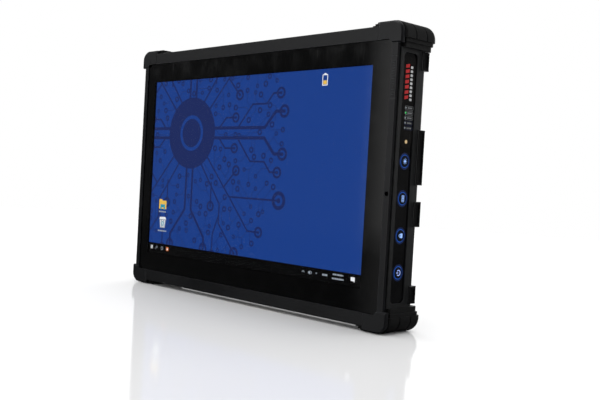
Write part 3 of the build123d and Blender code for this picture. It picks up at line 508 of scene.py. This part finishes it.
def via(art, u, v, radius):
    """Round pad of a circuit: a ring with a dot in it."""
    if not on_display(u, v, radius * 0.8):
        return
    art.ring(circle(u, v, radius), circle(u, v, radius * 0.58))
    art.fill(circle(u, v, radius * 0.28, count=16))


def along(points, step):
    """Places at even steps along an open line."""
    places = []
    for a, b in zip(points, points[1:]):
        a, b = Vector(a), Vector(b)
        count = max(1, round((b - a).length / step))
        places += [tuple(a.lerp(b, i / count)) for i in range(count)]
    return places + [tuple(points[-1])]


# Main tracks of one quarter of the pattern, in millimetres from the hub: width, pad, corners.
TRACKS = (
    (2.3, 4.6, ((24, 3.6), (79, 3.6), (89, 14.5), (97, 14.5))),
    (1.3, 4.1, ((52, 4), (66, 20), (80, 20), (86, 27), (93, 27))),
    (1.3, 3.8, ((32, 4), (39, 11), (49, 11))),
    (1.3, 6.4, ((20, 18), (46, 46), (96, 46))),
    (1.3, 4.0, ((47, 47), (67, 69), (78, 69))),
    (1.3, 4.0, ((40, 39), (52, 27))),
    (1.3, 4.6, ((13, 23), (36, 52), (36, 66), (54, 86))),
    (1.3, 4.2, ((36, 60), (30, 74), (30, 90))),
    (2.1, 4.4, ((3.6, 24), (3.6, 58), (20, 78), (20, 86))),
    (1.3, 4.0, ((26, 36), (26, 54))),
)
QUARTERS = ((1, 1), (1, -1), (-1, 1), (-1, -1))
GAP = 1.5 * MM                 # clear space between neighbouring tracks
FINE_TRIES = 14000
FINE_WIDTH = 0.45 * MM
PAD_RADII = (1.6, 1.9, 2.2)    # millimetres


def make_wallpaper():
    """Blue wallpaper with a generic circuit pattern round a plain hub."""
    back = screen_layer("wallpaper", 0)
    rect(back, 0, SCREEN_W, 0, SCREEN_H)
    back.finish(screen_blue, "tablet", "display")

    picker = random.Random(SEED)
    taken = set()
    roots = []
    main = screen_layer("wallpaper_tracks", 2)
    fine = screen_layer("wallpaper_fine_tracks", 1)

    def cell(place):
        return int(place[0] // GAP), int(place[1] // GAP)

    def take(places):
        taken.update(cell(p) for p in places)

    def free(places):
        return not any((i + a, j + b) in taken for i, j in map(cell, places)
                       for a in (-1, 0, 1) for b in (-1, 0, 1))

    for su, sv in QUARTERS:
        for width, pad, corners in TRACKS:
            points = [(HUB[0] + su * x * MM, HUB[1] + sv * y * MM) for x, y in corners]
            screen_line(main, points, width * MM)
            via(main, *points[-1], pad * MM)
            take(along(points, MM))
            take(circle(*points[-1], pad * MM))
            roots += along(points, 3.0 * MM)[1:-1]
    take(along([(HUB[0] - HUB_R, HUB[1]), (HUB[0] + HUB_R, HUB[1])], MM))
    for k in range(8):
        take(circle(*HUB, HUB_R * (k + 1) / 8, count=64))
    roots += circle(*HUB, HUB_R + MM, count=40)

    for _ in range(FINE_TRIES):
        start = picker.choice(roots)
        heading = picker.randrange(8) * math.pi / 4
        bend = heading + picker.choice((-1, 0, 1)) * math.pi / 4
        first = picker.uniform(3, 9) * MM
        second = picker.uniform(3, 12) * MM
        knee = (start[0] + first * math.cos(heading), start[1] + first * math.sin(heading))
        tip = (knee[0] + second * math.cos(bend), knee[1] + second * math.sin(bend))
        pad = picker.choice(PAD_RADII) * MM
        places = [p for p in along([start, knee, tip], MM)
                  if math.dist(p, start) > 2.0 * GAP]
        if not on_display(*tip, 0) or not places or not free(places):
            continue
        reach = tuple(t - pad * c for t, c in zip(tip, (math.cos(bend), math.sin(bend))))
        if math.dist(start, tip) < pad * 2:
            continue
        screen_line(fine, [start, knee, reach], FINE_WIDTH)
        main.ring(circle(*tip, pad, count=20), circle(*tip, pad * 0.48, count=20))
        take(places)
        take(circle(*tip, pad))
        roots += [knee]

    main.ring(circle(*HUB, HUB_R, count=72), circle(*HUB, HUB_R * 0.5, count=72))
    main.fill(circle(*HUB, HUB_R * 0.4, count=48))
    main.finish(screen_navy, "tablet", "display")
    fine.finish(screen_faint, "tablet", "display")


def text_bars(art, u, v, width, height, count):
    """Stand-in for a short word: a row of small blocks of uneven width."""
    shares = [1.0 + 0.45 * math.sin(2.3 * i + count) for i in range(count)]
    pitch = width / sum(shares)
    place = u - width / 2
    for share in shares:
        rect(art, place, place + pitch * share * WORD_FILL, v - height / 2, v + height / 2)
        place += pitch * share


def spot(u, v, place):
    """Point given in millimetres from (u, v)."""
    return u + place[0] * MM, v + place[1] * MM


def shape(u, v, corners):
    """Outline given by its corners in millimetres from (u, v)."""
    return [spot(u, v, corner) for corner in corners]


def tile(art, u, v, x0, x1, y0, y1):
    """Rectangle given by its sides in millimetres from (u, v)."""
    rect(art, u + x0 * MM, u + x1 * MM, v + y0 * MM, v + y1 * MM)


def screen_words(name, u, v, width, count):
    label = screen_layer(name, 3)
    text_bars(label, u, v, width * MM, LABEL_H, count)
    label.finish(screen_grey, "tablet", "display")


# Icons of the desktop: middle, then outlines in millimetres from it.
LABEL_H = 1.1 * MM
FOLDER = (15.5 * MM, 38.7 * MM)
FOLDER_TAB = (-4.6, -0.8, 2.6, 4.2)
FOLDER_BODY = (-4.6, 4.6, -3.4, 3.2)
FOLDER_TRAY = ((-2.9, -3.9), (-1.3, -3.9), (-1.3, -2.2), (1.3, -2.2), (1.3, -3.9), (2.9, -3.9),
               (2.9, 0.2), (-2.9, 0.2))
BIN = (16.3 * MM, 24.6 * MM)
BIN_PAIL = ((-3.0, -4.2), (3.0, -4.2), (4.2, 3.4), (-4.2, 3.4))
BIN_RIM = ((-4.4, 2.6), (4.4, 2.6), (3.2, 4.6), (-3.6, 4.2))
BIN_MARK_Y = -0.8
BATTERY = (178.2 * MM, 128.6 * MM)
BATTERY_PIP = (-1.0, 1.0, 3.6, 4.3)
BATTERY_CHARGE = (-1.45, 1.45, -2.75, -0.3)


def make_folder_icon():
    u, v = FOLDER
    body = screen_layer("folder_icon", 3)
    tile(body, u, v, *FOLDER_TAB)
    tile(body, u, v, *FOLDER_BODY)
    body.finish(screen_yellow, "tablet", "display")
    tray = screen_layer("folder_icon_tray", 4)
    tray.fill(shape(u, v, FOLDER_TRAY))
    tray.finish(screen_teal, "tablet", "display")
    screen_words("folder_label", u, v - 5.6 * MM, 9.0, 7)


def make_bin_icon():
    u, v = BIN
    pail = screen_layer("bin_icon", 3)
    pail.fill(shape(u, v, BIN_PAIL))
    pail.finish(screen_grey, "tablet", "display")
    rim = screen_layer("bin_icon_rim", 4)
    rim.fill(shape(u, v, BIN_RIM))
    for k in (-1, 0, 1):
        foot, top = k * 1.9, k * 2.4
        rim.fill(shape(u, v, ((foot - 0.35, -3.6), (foot + 0.35, -3.6),
                              (top + 0.45, 1.9), (top - 0.45, 1.9))))
    rim.finish(screen_white, "tablet", "display")
    mark = screen_layer("bin_icon_mark", 5)
    middle = v + BIN_MARK_Y * MM
    mark.ring(circle(u, middle, 1.7 * MM, count=20), circle(u, middle, 1.0 * MM, count=20))
    mark.finish(screen_teal, "tablet", "display")
    screen_words("bin_label", u, v - 6.6 * MM, 11.0, 8)


def make_battery_widget():
    u, v = BATTERY
    shell = screen_layer("battery_widget", 3)
    shell.ring(rounded(u, v, 4.6 * MM, 7.2 * MM, 0.5 * MM),
               rounded(u, v, 3.5 * MM, 6.1 * MM, 0.3 * MM))
    tile(shell, u, v, *BATTERY_PIP)
    shell.finish(screen_white, "tablet", "display")
    charge = screen_layer("battery_widget_charge", 3)
    tile(charge, u, v, *BATTERY_CHARGE)
    charge.finish(screen_yellow, "tablet", "display")


# Glyphs of the task bar, in millimetres from its left end (x < 0: from its right end) and from
# its middle line.
MENU_LINE = (2.6, 5.4)
LENS_AT = (10.4, 0.4)
LENS_STEM = ((9.7, -0.3), (8.9, -1.2))
DISC_AT = (17.2, 0.0)
CHEVRON = ((-49.5, -0.4), (-48.4, 0.6), (-47.3, -0.4))
HORN = ((-44.0, -0.6), (-43.2, -0.6), (-42.2, -1.4), (-42.2, 1.4), (-43.2, 0.6), (-44.0, 0.6))
WAVE = ((-41.5, -1.0), (-41.0, 0.0), (-41.5, 1.0))
DOT_AT = (-37.0, 0.2)
WORDS = ((-29.5, 0.0, 4.6, 1.2, 3), (-18.8, 1.3, 8.6, 1.0, 6), (-18.8, -1.3, 9.6, 1.0, 8))
NOTE = (-8.6, -5.4, -1.0, 1.4)
NOTE_TAIL = ((-6.6, -0.9), (-5.6, -0.9), (-5.6, -1.9))
APP = (22.6, 25.6, -1.5, 1.5)
APP_DOT = (24.1, -0.2)


def make_task_bar():
    bar = screen_layer("task_bar", 3)
    rect(bar, 0, SCREEN_W, 0, BAR_H)
    bar.finish(screen_black, "tablet", "display")
    v = BAR_H * 0.55
    right = SCREEN_W
    glyphs = screen_layer("task_bar_glyphs", 4)
    for k in (-1, 0, 1):
        tile(glyphs, 0, v, *MENU_LINE, k - 0.3, k + 0.3)
    glyphs.finish(screen_white, "tablet", "display")

    quiet = screen_layer("task_bar_quiet_glyphs", 4)
    lens, disc = spot(0, v, LENS_AT), spot(0, v, DISC_AT)
    quiet.ring(circle(*lens, 0.9 * MM, 20), circle(*lens, 0.6 * MM, 20))
    quiet.line(shape(0, v, LENS_STEM), 0.35 * MM)
    quiet.ring(circle(*disc, 1.35 * MM, 24), circle(*disc, 0.95 * MM, 24))
    quiet.line(shape(right, v, CHEVRON), 0.4 * MM)
    quiet.fill(shape(right, v, HORN))
    quiet.line(shape(right, v, WAVE), 0.35 * MM)
    quiet.fill(circle(*spot(right, v, DOT_AT), 0.5 * MM, 16))
    for x, y, width, height, count in WORDS:
        text_bars(quiet, right + x * MM, v + y * MM, width * MM, height * MM, count)
    quiet.finish(screen_grey, "tablet", "display")

    note = screen_layer("task_bar_note", 4)
    tile(note, right, v, *NOTE)
    note.fill(shape(right, v, NOTE_TAIL))
    note.finish(screen_white, "tablet", "display")
    app = screen_layer("task_bar_app", 4)
    tile(app, 0, v, *APP)
    app.finish(screen_orange, "tablet", "display")
    app_mark = screen_layer("task_bar_app_mark", 5)
    app_mark.fill(circle(*spot(0, v, APP_DOT), 0.8 * MM, 16))
    app_mark.finish(screen_white, "tablet", "display")


def make_screen_border():
    """Black print behind the glass that frames the picture."""
    border = screen_layer("screen_border", 7)
    u, v = SCREEN_W / 2, SCREEN_H / 2
    reach = LCD_BORDER * 1.6
    border.ring(rounded(u, v, SCREEN_W + reach, SCREEN_H + reach, 1.0 * MM),
                rounded(u, v, SCREEN_W, SCREEN_H, 0.15 * MM))
    border.finish(mask, "tablet", "black_mask")


def make_glass_print():
    """Gloss black print round the picture, on the face of the glass."""
    lift = screen_y - glass_lo.y
    face = Art("glass_print", on_screen, lift + LAYER, lift + 2 * LAYER)
    u, v = SCREEN_W / 2, SCREEN_H / 2
    glass_u = (glass_lo.x + glass_hi.x) / 2 - screen_x0
    glass_v = (glass_lo.z + glass_hi.z) / 2 - screen_z0
    width, height = glass_hi.x - glass_lo.x, glass_hi.z - glass_lo.z
    face.ring(rounded(glass_u, glass_v, width, height, GLASS_CORNER),
              rounded(u, v, SCREEN_W + 2 * PRINT_BACK, SCREEN_H + 2 * PRINT_BACK, 0.15 * MM))
    face.finish(glass_gloss, "tablet", "black_mask")


make_wallpaper()
make_folder_icon()
make_bin_icon()
make_battery_widget()
make_task_bar()
make_screen_border()
make_glass_print()


# ------------------------------------------------------------------ the button panel
PRINT = 0.03 * MM
RED_U0, RED_U1 = -8.0 * MM, -4.4 * MM
WHITE_U0, WHITE_U1 = -3.2 * MM, -0.9 * MM
RED_PITCH = 3.1                # millimetres from stripe to stripe
RED_DOWN = 17.4                # millimetres from the label's upper end, before RED_DROP
RED_DROP = 8.0 * MM
DASH_PITCH = 2.4               # millimetres from dash to dash
DASH_DOWN = 25.2               # millimetres from the label's upper end to the lowest dash
LIGHT_PITCH = 3.0 * MM
HALO_R = (5.1 * MM, 4.35 * MM)
OUTLINE_IN = 3.1 * MM          # middle of a status outline behind the lights' line
WORD_IN = 4.0 * MM
halo_blue = lit("halo_blue", (0.0012, 0.006, 0.035), 1.0)
icon_glow = lit("icon_glow", (0.3, 0.5, 1.0), 1.0)
power_glow = lit("power_glow", (0.38, 0.5, 1.0), 1.0)
print_red = polished("print_red", (0.55, 0.006, 0.008), 0.3)
print_white = polished("print_white", (0.55, 0.56, 0.57), 0.35)
print_grey = polished("print_grey", (0.2, 0.21, 0.22), 0.35)
print_navy = polished("print_navy", (0.012, 0.02, 0.075), 0.35)
light_green = lit("light_green", (0.05, 0.5, 0.12), 1.0, speckle=0.00001)

BUTTONS = ("display_button", "keyboard_button", "lock_button", "power_button")


def cap_layer(button, name, level=0):
    """Layer on the face of one button: u towards the back, v up, from the middle of the cap."""
    cap_lo, cap_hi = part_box(button)
    middle = (cap_lo + cap_hi) / 2

    def place(u, v, w):
        return Vector((cap_hi.x + w, middle.y + u, middle.z + v))

    return Art(name, place, level * PRINT, (level + 1) * PRINT)


def make_button_icons():
    sun = cap_layer("display_button", "display_icon")
    sun.fill(circle(0, 0, 0.85 * MM, 20))
    for k in range(8):
        a = k * math.pi / 4
        reach = [(r * MM * math.cos(a), r * MM * math.sin(a)) for r in (1.15, 1.75)]
        sun.line(reach, 0.34 * MM)
    sun.finish(icon_glow, "display_button", "display")

    keys = cap_layer("keyboard_button", "keyboard_icon")
    keys.ring(rounded(0, 0, 2.4 * MM, 4.0 * MM, 0.4 * MM),
              rounded(0, 0, 1.9 * MM, 3.5 * MM, 0.3 * MM))
    for i in (-1, 0, 1):
        for j in (-1, 0, 1):
            keys.fill(rounded(i * 0.56 * MM, j * 0.98 * MM, 0.4 * MM, 0.68 * MM, 0.08 * MM, 2))
    keys.finish(icon_glow, "keyboard_button", "display")

    lock = cap_layer("lock_button", "lock_icon")
    lock.fill(rounded(0.7 * MM, 0, 2.0 * MM, 2.8 * MM, 0.3 * MM))
    bow = [(-0.25 * MM - 1.35 * MM * math.sin(a), 0.9 * MM * math.cos(a))
           for a in (math.pi * i / 12 for i in range(13))]
    lock.line(bow, 0.42 * MM)
    lock.finish(icon_glow, "lock_button", "display")

    power = cap_layer("power_button", "power_icon")
    open_ring = [(1.6 * MM * math.cos(a), 1.6 * MM * math.sin(a))
                 for a in (math.pi + 0.7 + (math.tau - 1.4) * i / 28 for i in range(29))]
    power.line(open_ring, 0.5 * MM)
    power.line([(-2.1 * MM, 0), (-0.3 * MM, 0)], 0.5 * MM)
    power.finish(power_glow, "power_button", "display")


def make_panel_prints():
    halo = Art("ring_halos", on_side, 0.0, PRINT)
    for button in BUTTONS:
        cap_lo, cap_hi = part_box(button)
        u, v = (cap_lo.y + cap_hi.y) / 2, (cap_lo.z + cap_hi.z) / 2
        halo.ring(circle(u, v, HALO_R[0], 48), circle(u, v, HALO_R[1], 48))
    halo.finish(halo_blue, "tablet", "light_ring")

    face = label_hi.x - window_hi.x
    red = Art("label_stripes", on_side, face, face + PRINT)
    for k in range(7):
        v = label_hi.z - (RED_DOWN - RED_PITCH * k) * MM - RED_DROP
        red.fill([(RED_U0, v), (RED_U1, v + 0.7 * MM), (RED_U1, v + 2.7 * MM),
                  (RED_U0, v + 2.0 * MM)])
    red.finish(print_red, "tablet", "panel_black")
    white = Art("label_dashes", on_side, face, face + PRINT)
    for k in range(9):
        v = label_hi.z - (DASH_DOWN - DASH_PITCH * k) * MM
        white.fill(rounded((WHITE_U0 + WHITE_U1) / 2, v, WHITE_U1 - WHITE_U0, 1.5 * MM,
                           0.5 * MM, 4))
    white.finish(print_white, "tablet", "panel_black")


def make_status_prints():
    lights_lo, lights_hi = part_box("status_lights")
    face = label_hi.x - window_hi.x
    u = (lights_lo.y + lights_hi.y) / 2
    first = lights_hi.z - (lights_hi.z - lights_lo.z - 4 * LIGHT_PITCH) / 2
    pale = Art("status_outlines_pale", on_side, face, face + PRINT)
    dark = Art("status_outlines_dark", on_side, face, face + PRINT)
    words = Art("status_words", on_side, face, face + PRINT)
    for k in range(5):
        v = first - k * LIGHT_PITCH
        art = pale if k < 3 else dark
        art.ring(rounded(u + OUTLINE_IN, v, 8.4 * MM, 2.35 * MM, 1.1 * MM),
                 rounded(u + OUTLINE_IN, v, 8.0 * MM, 1.95 * MM, 0.9 * MM))
        text_bars(words, u + WORD_IN, v, 4.6 * MM, 0.95 * MM, 5 + k % 2)
    pale.finish(print_grey, "tablet", "panel_black")
    dark.finish(print_navy, "tablet", "panel_black")
    words.finish(print_grey, "tablet", "panel_black")
    tip = lights_hi.x - window_hi.x
    green = Art("status_light_on", on_side, tip, tip + PRINT)
    green.fill(circle(u, first - LIGHT_PITCH, 0.62 * MM, 20))
    green.finish(light_green, "tablet", "light_guide")


make_button_icons()
make_panel_prints()
make_status_prints()


# ------------------------------------------------------------------ floor, lights and camera
FLOOR_GAP = 0.05 * MM
FLOOR_SHINE = 0.3
FLOOR_BOUNCE = (0.03, 0.03, 0.03)
WORLD_GLOSS = 0.08
VIEW_POINT = centre + Vector((0.4292, -0.4193, -0.0042))
VIEW_FORWARD = Vector((-0.7559, 0.6540, -0.0292))
VIEW_ROLL = -3.04              # degrees
VIEW_LENS = 50.3
VIEW_SHIFT = 0.15
SENSOR_WIDTH = 36.0
CLIP_START, CLIP_END = 0.01, 60.0
FLOOR_SIZE = 6.0
FLOOR_FADE = (0.5, 1.3, 0.0, 1.0)
FLOOR_WHITE = (0.95, 0.95, 0.955)
FLOOR_ROUGHNESS = 0.09

# Cards that only reflect, or also light: name, middle, half width, half height, strength at the
# left edge and beyond the ramp, share of the width that the ramp takes, whether it lights all.
CARDS = (
    ("front_card", (-0.08, -1.1, 0.2), (0.71, 0.0, 0.0), (0.0, 0.0, 0.35), 0.0, 1.5, 0.1, False),
    ("high_card", (-1.3, -1.1, 1.0), (0.65, 0.0, 0.0), (0.0, 0.25, 0.5), 2.0, 0.1, 1.0, False),
    ("back_card", (-0.6, 1.3, 0.5), (-1.6, -0.9, 0.0), (0.0, 0.0, 0.7), 1.0, 1.0, 1.0, True),
    ("side_card", (1.5, 0.55, 0.4), (-0.1, 0.4, 0.0), (0.0, 0.0, 0.5), 0.1, 0.8, 1.0, True),
)
# Area lights: name, place, aim, width, height, power in watts.
LAMPS = (
    ("overhead", (0.0, 0.0, 1.4), (0, 0, 0.09), 1.6, 1.0, 6.0),
    ("back_fill", (-0.1, 1.3, 0.24), (0, 0, 0.12), 0.9, 0.3, 5.0),
    ("left_fill", (-1.2, 0.15, 0.2), (0, 0, 0.12), 0.4, 0.3, 2.5),
)


def staged(name, mesh, material):
    thing = bpy.data.objects.new(name, mesh)
    bpy.context.scene.collection.objects.link(thing)
    mesh.materials.append(material)
    return thing


def make_floor():
    """Pale glossy floor that fades into the white surroundings."""
    mesh = bpy.data.meshes.new("floor")
    corners = [(x * FLOOR_SIZE, y * FLOOR_SIZE) for x, y in ((-1, -1), (1, -1), (1, 1), (-1, 1))]
    mesh.from_pydata([Vector((x, y, low.z - FLOOR_GAP)) for x, y in corners], [], [(0, 1, 2, 3)])
    made = Shader("floor_white", FLOOR_WHITE, 1.0, specular=0.0)
    tree = made.tree
    path = tree.nodes.new("ShaderNodeLightPath")
    made.colour(made.blend(path.outputs["Is Camera Ray"], FLOOR_BOUNCE, FLOOR_WHITE))
    gloss = tree.nodes.new("ShaderNodeBsdfGlossy")
    gloss.inputs["Color"].default_value = (1.0, 1.0, 1.0, 1.0)
    gloss.inputs["Roughness"].default_value = FLOOR_ROUGHNESS
    shine = tree.nodes.new("ShaderNodeMixShader")
    shine.inputs["Fac"].default_value = FLOOR_SHINE
    tree.links.new(made.shader.outputs["BSDF"], shine.inputs[1])
    tree.links.new(gloss.outputs["BSDF"], shine.inputs[2])
    clear = tree.nodes.new("ShaderNodeBsdfTransparent")
    fade = tree.nodes.new("ShaderNodeMixShader")
    reach = tree.nodes.new("ShaderNodeVectorMath")
    reach.operation = "LENGTH"
    tree.links.new(made.place, reach.inputs[0])
    tree.links.new(made.spread(reach.outputs["Value"], *FLOOR_FADE), fade.inputs["Fac"])
    tree.links.new(shine.outputs["Shader"], fade.inputs[1])
    tree.links.new(clear.outputs["BSDF"], fade.inputs[2])
    tree.links.new(fade.outputs["Shader"], tree.nodes["Material Output"].inputs["Surface"])
    staged("floor", mesh, made.material)


def make_card(name, middle, right, up, edge_strength, far_strength, ramp, lights_all):
    """White card whose strength changes from its left edge over a share of its width."""
    mesh = bpy.data.meshes.new(name)
    middle, right, up = Vector(middle), Vector(right), Vector(up)
    corners = [middle - right - up, middle + right - up, middle + right + up, middle - right + up]
    mesh.from_pydata(corners, [], [(0, 1, 2, 3)])
    mesh.uv_layers.new(name="card")
    for loop, uv in zip(mesh.uv_layers["card"].data, ((0, 0), (1, 0), (1, 1), (0, 1))):
        loop.uv = uv
    made = Shader(name, BLACK, 1.0, specular=0.0)
    place = made.tree.nodes.new("ShaderNodeUVMap")
    split = made.tree.nodes.new("ShaderNodeSeparateXYZ")
    glow = made.tree.nodes.new("ShaderNodeEmission")
    made.link(place.outputs["UV"], split.inputs["Vector"])
    made.link(made.spread(split.outputs["X"], 0.0, ramp, edge_strength, far_strength),
              glow.inputs["Strength"])
    made.link(glow.outputs["Emission"], made.tree.nodes["Material Output"].inputs["Surface"])
    card = staged(name, mesh, made.material)
    card.visible_diffuse = lights_all
    card.visible_camera = False


def make_world():
    world = bpy.data.worlds.new("studio")
    bpy.context.scene.world = world
    world.use_nodes = True
    tree = world.node_tree
    background = tree.nodes["Background"]
    background.inputs["Color"].default_value = (1.0, 1.0, 1.0, 1.0)
    path = tree.nodes.new("ShaderNodeLightPath")
    strength = tree.nodes.new("ShaderNodeMapRange")
    strength.inputs["To Min"].default_value = 1.0
    strength.inputs["To Max"].default_value = WORLD_GLOSS
    tree.links.new(path.outputs["Is Glossy Ray"], strength.inputs["Value"])
    tree.links.new(strength.outputs["Result"], background.inputs["Strength"])


def soft_light(name, place, aim, width, height, power):
    data = bpy.data.lights.new(name, "AREA")
    data.shape = "RECTANGLE"
    data.size = width
    data.size_y = height
    data.energy = power
    lamp = bpy.data.objects.new(name, data)
    bpy.context.scene.collection.objects.link(lamp)
    lamp.location = place
    lamp.rotation_euler = (Vector(aim) - Vector(place)).to_track_quat("-Z", "Y").to_euler()


def make_camera():
    data = bpy.data.cameras.new("camera")
    data.sensor_width = SENSOR_WIDTH
    data.lens = VIEW_LENS
    data.shift_x = VIEW_SHIFT
    camera = bpy.data.objects.new("camera", data)
    bpy.context.scene.collection.objects.link(camera)
    level = VIEW_FORWARD.to_track_quat("-Z", "Y").to_matrix()
    roll = Matrix.Rotation(math.radians(VIEW_ROLL), 3, VIEW_FORWARD)
    camera.matrix_world = Matrix.Translation(VIEW_POINT) @ (roll @ level).to_4x4()
    data.clip_start = CLIP_START
    data.clip_end = CLIP_END
    bpy.context.scene.camera = camera


make_floor()
make_world()
make_camera()
for card in CARDS:
    make_card(*card)
for lamp in LAMPS:
    soft_light(*lamp)

view_settings = bpy.context.scene.view_settings
view_settings.view_transform = "Standard"
view_settings.look = "None"
